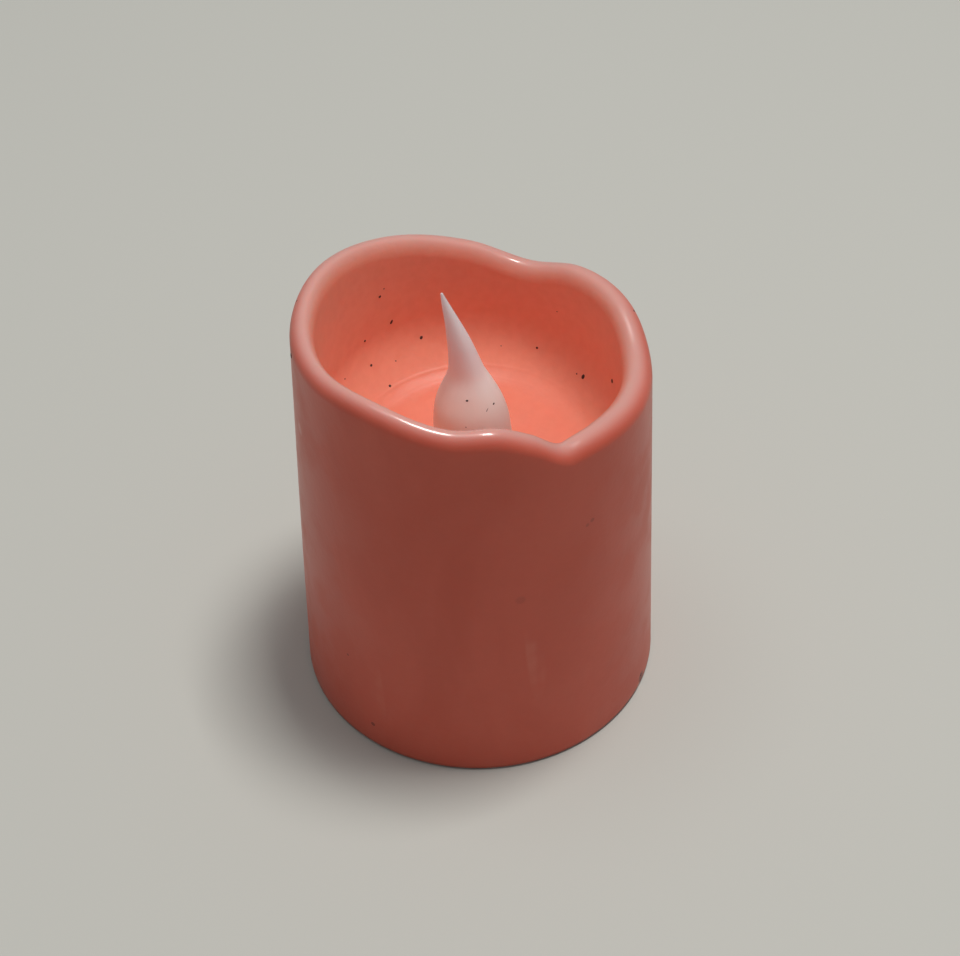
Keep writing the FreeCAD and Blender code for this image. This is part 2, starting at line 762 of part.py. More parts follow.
def make_door():
    """Round door with three bayonet lugs above its edge and a coin slot across its underside."""
    solids = [cylinder("door_plate", "door_radius", "cover_low", "door_top - cover_low", x="bay_x")]
    for start in lug_starts:
        height = "door_top - lug_low"
        solids.append(cylinder("lug", "lug_radius", "lug_low", height, "bay_x", "0", "lug_angle", str(start)))
    middle_length = "coin_slot_length - coin_slot_width"
    slot_height = "cover_low + coin_slot_depth"
    slot = [box("coin_slot", "bay_x", "0", "0", "coin_slot_width", middle_length, slot_height)]
    for side in (-1, 1):
        end = f"{side} * ({middle_length}) / 2"
        slot.append(cylinder("coin_slot_end", "coin_slot_width / 2", "0", slot_height, "bay_x", end))
    return cut("battery_door", fuse("door_solid", solids), fuse("coin_slot_space", slot))


# ---------------------------------------------------------------- the whole candle
leads = [make_lead("led_anode_lead", 1), make_lead("led_cathode_lead", -1)]
pins = make_switch_pins()
nodes = [
    make_shell(),
    make_lens(),
    make_bulb(),
    *leads,
    make_spacer(),
    make_tower(),
    make_board(),
    make_chip_blob(),
    make_resistor(),
    make_screws(),
    make_solder(leads, pins),
    make_switch_frame(),
    make_switch_wafer(),
    pins,
    make_switch_slider(),
    make_switch_wiper(),
    *make_cell(),
    make_negative_contact(),
    make_positive_contact(),
    make_cover(),
    make_door(),
]
doc.recompute()

for item in doc.Objects:
    assert not {"Invalid", "Error"} & set(item.State), f"{item.Label} failed: {item.State}"
for node in nodes:
    shape = node.Shape
    assert not shape.isNull() and shape.isValid() and shape.Solids, f"{node.Label} has no valid solid"
    shape.exportStep(f"parts/{node.Label}.step")
    print(f"{node.Label}: {len(shape.Solids)} solid(s), {shape.Volume:.2f} cubic mm")
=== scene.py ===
import math

import bpy
import mathutils
import numpy as np
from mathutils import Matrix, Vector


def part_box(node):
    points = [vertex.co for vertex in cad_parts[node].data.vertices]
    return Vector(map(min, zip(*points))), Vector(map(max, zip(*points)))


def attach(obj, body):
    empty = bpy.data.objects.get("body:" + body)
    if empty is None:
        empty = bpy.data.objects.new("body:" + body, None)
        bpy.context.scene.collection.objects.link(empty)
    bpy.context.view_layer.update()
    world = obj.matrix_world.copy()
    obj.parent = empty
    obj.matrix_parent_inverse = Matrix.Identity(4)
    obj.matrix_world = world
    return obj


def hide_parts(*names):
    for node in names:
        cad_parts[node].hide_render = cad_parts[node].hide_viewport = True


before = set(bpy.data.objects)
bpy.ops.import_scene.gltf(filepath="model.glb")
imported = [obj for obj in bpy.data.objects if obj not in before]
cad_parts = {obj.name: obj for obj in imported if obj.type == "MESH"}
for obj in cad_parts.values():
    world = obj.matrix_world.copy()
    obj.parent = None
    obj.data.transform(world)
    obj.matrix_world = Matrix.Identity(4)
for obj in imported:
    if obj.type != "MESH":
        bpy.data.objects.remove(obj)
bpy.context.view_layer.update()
mm = 0.001
print("frame loaded")


# Height of a smooth curve at x, through the stations. Between two stations it is the cubic that meets both
# with slopes taken from the neighbours; with a period, the stations repeat for ever.
def smoothThrough(x, stationX, stationY, period=None):
    sx = np.array(stationX, float)
    sy = np.array(stationY, float)
    if period:
        sx = np.concatenate([sx[-2:] - period, sx, sx[:2] + period])
        sy = np.concatenate([sy[-2:], sy, sy[:2]])
        x = np.mod(x, period)
    slope = np.gradient(sy, sx)
    i = np.clip(np.searchsorted(sx, x) - 1, 0, len(sx) - 2)
    span = sx[i + 1] - sx[i]
    t = np.clip((x - sx[i]) / span, 0, 1)
    rise = (1 + 2 * t) * (1 - t) ** 2 * sy[i] + t * t * (3 - 2 * t) * sy[i + 1]
    bend = t * (1 - t) ** 2 * slope[i] - t * t * (1 - t) * slope[i + 1]
    return rise + bend * span


# 0 below low, 1 above high, and an S-shaped ramp between them.
def ramp(x, low, high):
    t = np.clip((x - low) / (high - low), 0, 1)
    return t * t * (3 - 2 * t)


def makePiece(name, points, faces):
    mesh = bpy.data.meshes.new(name)
    mesh.from_pydata(points.tolist(), [], faces)
    mesh.polygons.foreach_set("use_smooth", np.ones(len(mesh.polygons), bool))
    mesh.update()
    piece = bpy.data.objects.new(name, mesh)
    bpy.context.scene.collection.objects.link(piece)
    return piece


# A mesh from a grid of points, rows by columns. Columns always run right round; rows close into a ring
# if asked, and otherwise each end row is shut with one point at its middle where a cap is asked for.
def meshFromGrid(name, x, y, z, closeRows=False, capFirst=False, capLast=False, flip=False):
    rows, columns = x.shape
    points = np.stack([x, y, z], axis=-1).reshape(-1, 3) * mm
    index = np.arange(rows * columns).reshape(rows, columns)
    lower = index if closeRows else index[:-1]
    upper = np.roll(index, -1, axis=0) if closeRows else index[1:]
    quads = np.stack([lower, np.roll(lower, -1, 1), np.roll(upper, -1, 1), upper], axis=-1).reshape(-1, 4)
    faces = quads.tolist()
    for row, wanted, turned in ((index[0], capFirst, True), (index[-1], capLast, False)):
        if wanted:
            centre = len(points)
            points = np.vstack([points, points[row].mean(axis=0)])
            ring = np.stack([row, np.roll(row, -1), np.full(columns, centre)], axis=-1)
            faces += (ring[:, [1, 0, 2]] if turned else ring).tolist()
    if flip:
        faces = [face[::-1] for face in faces]
    return makePiece(name, points, faces)


# One number for each vertex, kept with the mesh for its material to read.
def paintVertices(piece, label, values):
    layer = piece.data.attributes.new(label, "FLOAT", "POINT")
    whole = np.zeros(len(piece.data.vertices), np.float32)
    whole[:values.size] = values.reshape(-1)
    layer.data.foreach_set("value", whole)


def setMaterial(piece, material):
    if piece.data.materials:
        for slot in piece.material_slots:
            slot.material = material
    else:
        piece.data.materials.append(material)


def newTree(name):
    material = bpy.data.materials.new(name)
    material.use_nodes = True
    tree = material.node_tree
    shader = tree.nodes["Principled BSDF"]
    return material, tree, shader


# Each input of a node is linked if it is given a socket, and otherwise set to the value.
def setInputs(tree, node, inputs):
    for key, value in inputs.items():
        if isinstance(value, bpy.types.NodeSocket):
            tree.links.new(value, node.inputs[key])
        else:
            node.inputs[key].default_value = value


def addNode(tree, kind, inputs=None, **settings):
    node = tree.nodes.new(kind)
    for key, value in settings.items():
        setattr(node, key, value)
    setInputs(tree, node, inputs or {})
    return node


def objectPoint(tree):
    return addNode(tree, "ShaderNodeTexCoord").outputs["Object"]


def noiseOf(tree, point, scale, detail=3.0, roughness=0.55, distortion=0.0):
    values = {"Vector": point, "Scale": scale, "Detail": detail, "Roughness": roughness}
    values["Distortion"] = distortion
    return addNode(tree, "ShaderNodeTexNoise", values).outputs["Fac"]


def mathNode(tree, operation, a, b=0.0, c=0.0):
    return addNode(tree, "ShaderNodeMath", {0: a, 1: b, 2: c}, operation=operation).outputs[0]


def fitRange(tree, value, low, high, toLow=0.0, toHigh=1.0):
    values = {"Value": value, "From Min": low, "From Max": high, "To Min": toLow, "To Max": toHigh}
    return addNode(tree, "ShaderNodeMapRange", values, interpolation_type="SMOOTHSTEP").outputs["Result"]


# Colour a where factor is 0 and b where it is 1; each is a socket or three numbers.
def mixColour(tree, factor, a, b):
    a, b = (value if isinstance(value, bpy.types.NodeSocket) else (*value, 1) for value in (a, b))
    return addNode(tree, "ShaderNodeMix", {0: factor, 6: a, 7: b}, data_type="RGBA").outputs[2]


def stretched(tree, point, scale, turn=(0.0, 0.0, 0.0)):
    values = {"Vector": point, "Scale": scale, "Rotation": turn}
    return addNode(tree, "ShaderNodeMapping", values).outputs["Vector"]


def bumpOf(tree, height, strength, distance):
    values = {"Height": height, "Strength": strength, "Distance": distance}
    return addNode(tree, "ShaderNodeBump", values).outputs["Normal"]


def newGroup(name, inputs, outputs):
    tree = bpy.data.node_groups.new(name, "ShaderNodeTree")
    for label, value in inputs.items():
        socket = tree.interface.new_socket(name=label, in_out="INPUT", socket_type="NodeSocketFloat")
        socket.default_value = value
    for label in outputs:
        tree.interface.new_socket(name=label, in_out="OUTPUT", socket_type="NodeSocketFloat")
    return tree, tree.nodes.new("NodeGroupInput"), tree.nodes.new("NodeGroupOutput")


# Moulded skin: a fine orange peel with a slow swell under it, and a roughness mask that follows the swell.
def mouldedSkinGroup():
    tree, given, out = newGroup("mouldedSkin", {"Grain": 1500.0, "Swell": 160.0}, ["Height", "Sheen mask"])
    point = objectPoint(tree)
    fine = noiseOf(tree, point, given.outputs["Grain"], 2.0)
    slow = noiseOf(tree, point, given.outputs["Swell"], 3.0)
    tree.links.new(mathNode(tree, "MULTIPLY_ADD", slow, 2.0, fine), out.inputs["Height"])
    tree.links.new(fitRange(tree, slow, 0.35, 0.65), out.inputs["Sheen mask"])
    return tree


# Specks: sparse dots, one in a few cells of a cell pattern, each a different size.
def specksGroup():
    tree, given, out = newGroup("specks", {"Scale": 300.0, "Share": 0.06, "Radius": 0.12}, ["Mask"])
    point = objectPoint(tree)
    cells = addNode(tree, "ShaderNodeTexVoronoi", {"Vector": point, "Scale": given.outputs["Scale"]})
    chosen = addNode(tree, "ShaderNodeSeparateColor", {"Color": cells.outputs["Color"]})
    share = mathNode(tree, "LESS_THAN", chosen.outputs["Red"], given.outputs["Share"])
    reach = mathNode(tree, "MULTIPLY", chosen.outputs["Green"], given.outputs["Radius"])
    dot = mathNode(tree, "LESS_THAN", cells.outputs["Distance"], reach)
    tree.links.new(mathNode(tree, "MULTIPLY", share, dot), out.inputs["Mask"])
    return tree


# Scuffs: fine scratches in two directions, broken up by a slow noise so that they come in patches.
def scuffsGroup():
    tree, given, out = newGroup("scuffs", {"Scale": 220.0, "Amount": 0.5}, ["Mask"])
    point = objectPoint(tree)
    marks = []
    for turn in (0.5, -0.9):
        line = stretched(tree, point, (1.0, 1.0, 0.06), (turn, turn * 0.6, 0.2))
        streak = noiseOf(tree, line, given.outputs["Scale"], 2.0, 0.5, 0.6)
        marks.append(fitRange(tree, streak, 0.69, 0.74))
    patch = fitRange(tree, noiseOf(tree, point, 90.0), 0.5, 0.7)
    both = mathNode(tree, "MULTIPLY", mathNode(tree, "MAXIMUM", marks[0], marks[1]), patch)
    tree.links.new(mathNode(tree, "MULTIPLY", both, given.outputs["Amount"]), out.inputs["Mask"])
    return tree


# Spot: a soft round patch about one point, given in millimetres, for single marks.
def spotGroup():
    tree, given, out = newGroup("spot", {"X": 0.0, "Y": 0.0, "Z": 0.0, "Radius": 1.0}, ["Mask"])
    inMillimetres = stretched(tree, objectPoint(tree), (1 / mm, 1 / mm, 1 / mm))
    values = {axis: given.outputs[axis] for axis in "XYZ"}
    centre = addNode(tree, "ShaderNodeCombineXYZ", values).outputs["Vector"]
    away = addNode(tree, "ShaderNodeVectorMath", {0: inMillimetres, 1: centre}, operation="DISTANCE")
    nearness = mathNode(tree, "DIVIDE", away.outputs["Value"], given.outputs["Radius"])
    tree.links.new(fitRange(tree, nearness, 0.5, 1.0, 1.0, 0.0), out.inputs["Mask"])
    return tree


# Grain: a noise drawn out along one axis, for brushed and rolled metal and for drawn-out plastic.
def grainGroup():
    sockets = {"Scale": 900.0, "Along": 0.05, "Coarse": 120.0}
    tree, given, out = newGroup("grain", sockets, ["Lines", "Clouds"])
    point = objectPoint(tree)
    pull = addNode(tree, "ShaderNodeCombineXYZ", {"X": 1.0, "Y": given.outputs["Along"], "Z": 1.0})
    factors = {0: point, 1: pull.outputs["Vector"]}
    drawn = addNode(tree, "ShaderNodeVectorMath", factors, operation="MULTIPLY").outputs["Vector"]
    clouds = noiseOf(tree, point, given.outputs["Coarse"], 4.0)
    tree.links.new(noiseOf(tree, drawn, given.outputs["Scale"]), out.inputs["Lines"])
    tree.links.new(fitRange(tree, clouds, 0.35, 0.65), out.inputs["Clouds"])
    return tree


mouldedSkin = mouldedSkinGroup()
specks = specksGroup()
scuffs = scuffsGroup()
spot = spotGroup()
grain = grainGroup()


def placeGroup(tree, group, **values):
    return addNode(tree, "ShaderNodeGroup", values, node_tree=group)


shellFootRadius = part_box("outer_shell")[1].x / mm
print("foot radius", round(shellFootRadius, 3), "mm")

# Shell: the outer wall, the rounded rim, the bowl and the hollow skirt as one closed turned surface.
# Sizes are in millimetres and angles in degrees, anticlockwise from +X.
shell = {
    "draft": 0.01611,  # taper of the wall, radius per height
    "swell": 0.025,  # unevenness of the wall
    "rimAngles": [0, 25, 50, 68, 90, 120, 150, 180, 205, 235, 262, 280, 290, 301, 308, 320, 340],
    "rimHeights": [
        42.2, 43.8, 43.2, 41.55, 43.5, 46.3, 48.35, 48.6, 49.2,
        50.3, 49.05, 48.75, 47.0, 44.3, 44.2, 43.8, 42.8,
    ],
    "lipAngles": [0, 60, 120, 180, 230, 270, 300, 330],
    "lipWidths": [3.0, 2.6, 2.4, 2.4, 2.3, 2.4, 2.9, 3.2],
    "lipOuterDrop": 1.7,
    "lipInnerDrop": 2.0,
    "crestShare": 0.56,  # place of the crest across the lip, from the outside
    "bowlTaper": 0.02,
    "floorHeight": 28.6,
    "floorEdge": 10.5,
    "floorDish": 0.3,
    "dishWidth": 5.0,
    "floorGlowShare": 0.55,  # share of the bowl's painted glow kept on the floor
    "blendRise": 6.5,
    "seams": [(13.1, 0.035), (11.9, 0.02)],  # radius and rise of each hairline
    "seamWidth": 0.13,
    "seamAngle": 112.0,
    "holeRadius": 4.2,
    "holeRound": 0.25,
    "collar": [(4.2, 26.0), (6.6, 25.95), (6.6, 26.75)],  # radius and height under the lens hole
    # height and depth of each step down the inside of the skirt, with the groove that the base snaps into
    "skirtRecesses": [(26.8, 0.0), (5.3, 0.0), (5.2, 0.28), (4.0, 0.28), (3.9, 0.0), (0.9, 0.0)],
    "footRound": 0.4,
    "skirtWall": 1.9,
    "columns": 360,
    "rows": {
        "footInside": 5, "footOutside": 8, "wall": 48, "lip": 18,
        "bowl": 36, "blend": 84, "floor": 14, "hole": 6,
    },
    "sharpAngle": 50.0,
}


def rimHeight(turn):
    return smoothThrough(np.degrees(turn), shell["rimAngles"], shell["rimHeights"], 360)


def lipWidth(turn):
    return smoothThrough(np.degrees(turn), shell["lipAngles"], shell["lipWidths"], 360)


# Radius of the outer wall: a cone, with a swell of a few hundredths from cooling unevenly.
def outerRadius(turn, height):
    swell = np.sin(2 * turn + 0.09 * height) + 0.7 * np.sin(3 * turn - 0.13 * height + 1.0)
    return shellFootRadius - shell["draft"] * height + shell["swell"] * swell * ramp(height, 1.0, 8.0)


# Radius of the bowl's wall: the outer wall less the lip's width, drawing in slightly on the way down.
def bowlRadius(turn, height):
    return outerRadius(turn, height) - lipWidth(turn) - shell["bowlTaper"] * (rimHeight(turn) - height)


# Radius of the crest line: the outer wall at the crest, less a share of the lip's width.
def crestRadius(turn):
    return outerRadius(turn, rimHeight(turn)) - shell["crestShare"] * lipWidth(turn)


# A column of evenly spaced shares from first to 1.
def stepsOf(count, first=0.0):
    return np.linspace(first, 1, count)[:, None]


# The same without the start, for rows that carry on from the ones before.
def stepsAfter(count):
    return stepsOf(count, 1 / count)


# Rows of points one above the other, from the foot's inner edge up the outside, over the lip, down the
# bowl, through the lens hole and back down the inside. For each row, share says how much painted sheen it
# gets on the rim, and inside how much painted glow it gets in the bowl.
def makeShell():
    rows = shell["rows"]
    turn = np.linspace(0, 2 * np.pi, shell["columns"], endpoint=False)[None, :]
    flat = np.zeros_like(turn)
    crest = rimHeight(turn)
    radii, heights, rimShare, bowlGlowShare = [], [], [], []

    def addRows(radius, height, share=0.0, inside=0.0):
        height = height + flat
        radii.append(radius + flat)
        heights.append(height)
        rimShare.append(np.zeros_like(height) + share)
        bowlGlowShare.append(np.zeros_like(height) + inside)

    foot, skirt, rounding = shellFootRadius, shell["skirtWall"], shell["footRound"]
    # foot: flat ring with a small inner and a larger outer rounding
    t = stepsOf(rows["footInside"]) * np.pi / 2
    addRows(foot - skirt + 0.5 * rounding * (1 - np.cos(t)), 0.5 * rounding * (1 - np.sin(t)))
    t = stepsOf(rows["footOutside"]) * np.pi / 2
    addRows(foot - rounding + rounding * np.sin(t), rounding * (1 - np.cos(t)))
    # outer wall up to where the lip starts to round over
    lipStart = crest - shell["lipOuterDrop"]
    height = rounding + (lipStart - rounding) * stepsAfter(rows["wall"])
    addRows(outerRadius(turn, height), height)
    # lip: a quarter ellipse outside the crest and another inside it
    middle = crestRadius(turn)
    t = stepsAfter(rows["lip"]) * np.pi / 2
    radius = middle + (outerRadius(turn, lipStart) - middle) * np.cos(t)
    addRows(radius, lipStart + shell["lipOuterDrop"] * np.sin(t), np.sin(t) ** 4)
    innerStart = crest - shell["lipInnerDrop"]
    radius = middle - (middle - bowlRadius(turn, innerStart)) * np.sin(t)
    addRows(radius, innerStart + shell["lipInnerDrop"] * np.cos(t), np.cos(t) ** 2, np.sin(t))
    # bowl wall, then a quarter ellipse down to the floor, with two raised hairlines where the moulds met
    blendTop = shell["floorHeight"] + shell["blendRise"]
    height = innerStart + (blendTop - innerStart) * stepsAfter(rows["bowl"])
    addRows(bowlRadius(turn, height), height, 0.0, 1.0)
    wallFoot = bowlRadius(turn, blendTop)
    t = stepsAfter(rows["blend"]) * np.pi / 2
    edge = shell["floorEdge"]
    radius = wallFoot - (wallFoot - edge) * (1 - np.cos(t))
    facing = np.exp(3 * (np.cos(turn - math.radians(shell["seamAngle"])) - 1))
    width, floorGlow = shell["seamWidth"], shell["floorGlowShare"]
    hairline = sum(facing * rise * np.exp(-((radius - seam) / width) ** 2) for seam, rise in shell["seams"])
    height = blendTop - shell["blendRise"] * np.sin(t) + hairline
    addRows(radius, height, 0.0, 1.0 - (1.0 - floorGlow) * np.sin(t) ** 3)
    # floor: a shallow dish to the lens hole
    hole, holeRound = shell["holeRadius"], shell["holeRound"]
    radius = edge + (hole + holeRound - edge) * stepsAfter(rows["floor"])
    dish = shell["floorDish"] * ramp(edge - radius, 0.0, shell["dishWidth"])
    addRows(radius, shell["floorHeight"] - dish, 0.0, floorGlow)
    # lens hole with a rounded edge, then the collar and the skirt's inside back to the foot
    floorIn = shell["floorHeight"] - shell["floorDish"]
    t = stepsAfter(rows["hole"]) * np.pi / 2
    addRows(hole + holeRound * (1 - np.sin(t)), floorIn - holeRound * (1 - np.cos(t)))
    inside = list(shell["collar"])
    for height, recess in shell["skirtRecesses"]:
        inside.append((foot - skirt + recess - shell["draft"] * height, height))
    for radius, height in inside:
        addRows(np.array([[radius]]), np.array([[height]]))
    radius = np.vstack(radii)
    height = np.vstack(heights)
    x, y = radius * np.cos(turn), radius * np.sin(turn)
    piece = meshFromGrid("candle_shell", x, y, height, closeRows=True)
    paintVertices(piece, "rimShare", np.vstack(rimShare))
    paintVertices(piece, "bowlGlowShare", np.vstack(bowlGlowShare))
    piece.data.set_sharp_from_angle(angle=math.radians(shell["sharpAngle"]))
    return piece


# Single marks on the plastic: a chip at the foot, then a dark scuff, a pale patch and a faint stain on the
# wall, and a ring-shaped spot in the bowl.
shellMarks = [
    {"at": (17.5, -7.4, 0.9), "radius": 0.9, "share": 0.8, "colour": (0.22, 0.04, 0.03)},
    {"at": (17.2, -8.1, 0.2), "radius": 0.6, "share": 0.7, "colour": (0.75, 0.40, 0.33)},
    {"at": (11.6, -14.4, 33.6), "radius": 0.35, "share": 0.5, "colour": (0.30, 0.06, 0.04)},
    {"at": (11.1, -14.8, 33.3), "radius": 0.3, "share": 0.4, "colour": (0.30, 0.06, 0.04)},
    {"at": (-17.6, -5.3, 38.7), "radius": 0.9, "share": 0.25, "colour": (0.80, 0.45, 0.38)},
    {"at": (4.2, -18.1, 26.0), "radius": 0.7, "share": 0.25, "colour": (0.35, 0.07, 0.05)},
    {"at": (-6.6, 14.0, 29.6), "radius": 0.75, "share": 0.5, "colour": (0.35, 0.10, 0.08)},
    {"at": (-6.6, 14.0, 29.6), "radius": 0.45, "share": 0.6, "colour": (0.62, 0.24, 0.17)},
]

shellLook = {
    "wall": [(0.60, 0.102, 0.060), (0.65, 0.120, 0.074)],
    # painted glow: a lighter copy of the wall colour, for light through the plastic and round the bowl
    "bowl": (0.90, 0.36, 0.25),
    "clouds": (0.5, 0.09, 0.055),
    # painted sheen: a pale colour on the lip for the broad reflection of the light overhead
    "rim": (0.67, 0.41, 0.37),
    "specks": (0.12, 0.03, 0.02),
    "scuffs": (0.85, 0.5, 0.42),
    # painted contact shade, darkest at the foot
    "grime": (0.10, 0.03, 0.02),
    "grimeHeights": (0.0001, 0.0007),  # metres above the foot
    "roughness": (0.33, 0.43),
    "rimCoat": 0.9,
    "sockets": {
        "IOR": 1.49,
        "Specular IOR Level": 0.3,
        "Coat Roughness": 0.17,
        "Subsurface Weight": 0.5,
        "Subsurface Radius": (1.0, 0.3, 0.2),
        "Subsurface Scale": 0.0022,
    },
}


# Salmon plastic that lets some light through, with moulding swirls, specks and a few scuffs.
# Painted light in its colour: a lighter glow in the bowl, a pale sheen on the rim and shade at the foot.
def shellPlastic():
    material, tree, shader = newTree("salmonPlastic")
    point = objectPoint(tree)
    swirl = noiseOf(tree, stretched(tree, point, (1.0, 1.0, 0.45)), 70.0, 4.0, 0.5, 0.8)
    outside = mixColour(tree, fitRange(tree, swirl, 0.35, 0.65), *shellLook["wall"])
    # painted glow: the bowl gets a lighter colour, for light through the plastic and round the bowl
    bowl = addNode(tree, "ShaderNodeAttribute", attribute_name="bowlGlowShare").outputs["Fac"]
    tone = mixColour(tree, bowl, outside, shellLook["bowl"])
    fine = noiseOf(tree, point, 900.0, 2.0)
    tone = mixColour(tree, fitRange(tree, fine, 0.3, 0.7, 0.0, 0.07), tone, shellLook["clouds"])
    # painted sheen: the lip is mixed towards a pale colour for the reflection of the light overhead
    rim = addNode(tree, "ShaderNodeAttribute", attribute_name="rimShare").outputs["Fac"]
    tone = mixColour(tree, mathNode(tree, "MULTIPLY", rim, 0.7), tone, shellLook["rim"])
    dots = placeGroup(tree, specks, Scale=420.0, Share=0.035, Radius=0.16).outputs["Mask"]
    tone = mixColour(tree, mathNode(tree, "MULTIPLY", dots, 0.6), tone, shellLook["specks"])
    marks = placeGroup(tree, scuffs, Scale=260.0, Amount=0.5).outputs["Mask"]
    tone = mixColour(tree, mathNode(tree, "MULTIPLY", marks, 0.35), tone, shellLook["scuffs"])
    # painted shade: darker in the last fraction of a millimetre above the foot, for the contact shadow
    upward = addNode(tree, "ShaderNodeSeparateXYZ", {"Vector": point}).outputs["Z"]
    grime = fitRange(tree, upward, *shellLook["grimeHeights"], 0.55, 0.0)
    tone = mixColour(tree, grime, tone, shellLook["grime"])
    for mark in shellMarks:
        patch = placeGroup(tree, spot, **dict(zip("XYZ", mark["at"])), Radius=mark["radius"])
        share = mathNode(tree, "MULTIPLY", patch.outputs["Mask"], mark["share"])
        tone = mixColour(tree, share, tone, mark["colour"])
    skin = placeGroup(tree, mouldedSkin, Grain=1700.0, Swell=140.0)
    gloss = fitRange(tree, skin.outputs["Sheen mask"], 0.0, 1.0, *shellLook["roughness"])
    gloss = mathNode(tree, "MULTIPLY_ADD", marks, 0.25, gloss)
    coat = mathNode(tree, "MULTIPLY", rim, shellLook["rimCoat"])
    bump = bumpOf(tree, skin.outputs["Height"], 0.25, 0.00006)
    setInputs(tree, shader, {"Base Color": tone, "Roughness": gloss, "Coat Weight": coat, "Normal": bump})
    setInputs(tree, shader, shellLook["sockets"])
    return material


shellPiece = makeShell()
setMaterial(shellPiece, shellPlastic())
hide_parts("outer_shell")
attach(shellPiece, "candle")
print("shell made")


# Flame lens: leaning drop-shaped tip on a neck, flange below, hollow for the LED. At each height there is a
# radius and a lean towards -X, in millimetres.
flame = {
    "heights": [28.4, 31.0, 33.0, 35.0, 37.0, 39.0, 41.0, 43.0, 45.5, 48.0, 50.5, 51.7],
    "radii": [4.05, 4.15, 4.09, 3.93, 3.52, 2.77, 1.96, 1.57, 1.19, 0.76, 0.35, 0.14],
    "leans": [0.0, -0.08, -0.15, -0.25, -0.39, -0.46, -0.565, -0.82, -1.285, -1.86, -2.5, -2.78],
    "neckLow": 28.4,
    "ridgeAngle": -60.0,
    "ridgeRise": 0.05,  # share of the radius
    "ridgeStart": (35.0, 42.0),
    "ridgeEnd": (47.0, 51.0),
    "ridgeSink": 0.25,  # share of the rise that is taken off all round
    "flange": [
        (4.05, 27.6), (4.05, 26.4), (4.1, 25.95), (4.25, 25.82), (6.05, 25.8),
        (6.2, 25.65), (6.2, 24.75), (6.05, 24.6), (3.3, 24.6),
    ],
    "boreRadius": 3.1,
    "boreHeights": [24.8, 27.0, 30.0, 34.0],
    "columns": 144,
    "rows": 150,
    "sharpAngle": 55.0,
}


# Rings from the tip down the outside, round the flange and up the bore to its dome, each a circle about
# the lean of its height.
def makeFlame():
    turn = np.linspace(0, 2 * np.pi, flame["columns"], endpoint=False)[None, :]
    top = flame["heights"][-1]
    tipRadius = flame["radii"][-1]
    # rounded tip: a small dome on the last section
    t = stepsOf(8, 0.06) * np.pi / 2
    tipHeight = top + tipRadius * 0.9 * np.cos(t)
    tipSize = tipRadius * np.sin(t)
    height = np.linspace(top, flame["neckLow"], flame["rows"])[1:, None]
    size = smoothThrough(height, flame["heights"], flame["radii"])
    height = np.vstack([tipHeight, height])
    size = np.vstack([tipSize, size])
    lean = smoothThrough(np.minimum(height, top), flame["heights"], flame["leans"])
    # a soft ridge down one side, strongest in the upper half
    ridge = flame["ridgeRise"] * ramp(height, *flame["ridgeStart"]) * (1 - ramp(height, *flame["ridgeEnd"]))
    ridge = ridge * np.exp(9 * (np.cos(turn - math.radians(flame["ridgeAngle"])) - 1))
    radius = size * (1 + ridge - flame["ridgeSink"] * ridge.max())
    x = [lean + radius * np.cos(turn)]
    y = [radius * np.sin(turn)]
    z = [height + 0 * turn]
    bore, boreHeights = flame["boreRadius"], flame["boreHeights"]
    below = flame["flange"] + [(bore, height) for height in boreHeights]
    t = np.linspace(0.1, 0.96, 9) * np.pi / 2
    below += list(zip(bore * np.cos(t), boreHeights[-1] + bore * np.sin(t)))
    ring = np.array(below)
    x.append(ring[:, :1] * np.cos(turn))
    y.append(ring[:, :1] * np.sin(turn))
    z.append(ring[:, 1:] + 0 * turn)
    grid = [np.vstack(rows) for rows in (x, y, z)]
    piece = meshFromGrid("flame", *grid, capFirst=True, capLast=True, flip=True)
    piece.data.set_sharp_from_angle(angle=math.radians(flame["sharpAngle"]))
    return piece


flameLook = {
    "clouds": [(0.83, 0.72, 0.74), (0.89, 0.78, 0.79)],
    # painted bounce light: warmer and paler low down, where light from the bowl falls on the flame
    "low": (1.0, 0.90, 0.82),
    "bounceGlowHeights": (0.036, 0.045),  # metres, over which the painted bounce light fades out
    "specks": (0.2, 0.1, 0.08),
    "roughness": (0.38, 0.5),
    "sockets": {
        "IOR": 1.49,
        "Specular IOR Level": 0.35,
        "Subsurface Weight": 0.7,
        "Subsurface Radius": (1.0, 0.95, 0.95),
        "Subsurface Scale": 0.005,
    },
}


# Milky plastic of the flame: cloudy, with a soft sheen, fine specks and painted warm bounce light low down.
def flamePlastic():
    material, tree, shader = newTree("milkyPlastic")
    point = objectPoint(tree)
    cloud = noiseOf(tree, stretched(tree, point, (1.0, 1.0, 0.3)), 180.0, 3.0)
    tone = mixColour(tree, fitRange(tree, cloud, 0.3, 0.7), *flameLook["clouds"])
    upward = addNode(tree, "ShaderNodeSeparateXYZ", {"Vector": point}).outputs["Z"]
    # painted bounce light: the low colour fades in below these heights
    low = fitRange(tree, upward, *flameLook["bounceGlowHeights"], 1.0, 0.0)
    tone = mixColour(tree, low, tone, flameLook["low"])
    dots = placeGroup(tree, specks, Scale=700.0, Share=0.05, Radius=0.16).outputs["Mask"]
    tone = mixColour(tree, mathNode(tree, "MULTIPLY", dots, 0.4), tone, flameLook["specks"])
    skin = placeGroup(tree, mouldedSkin, Grain=1800.0, Swell=300.0)
    gloss = fitRange(tree, skin.outputs["Sheen mask"], 0.0, 1.0, *flameLook["roughness"])
    bump = bumpOf(tree, skin.outputs["Height"], 0.2, 0.00005)
    setInputs(tree, shader, {"Base Color": tone, "Roughness": gloss, "Normal": bump})
    setInputs(tree, shader, flameLook["sockets"])
    return material


flamePiece = makeFlame()
setMaterial(flamePiece, flamePlastic())
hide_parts("flame_lens")
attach(flamePiece, "candle")
print("flame made")

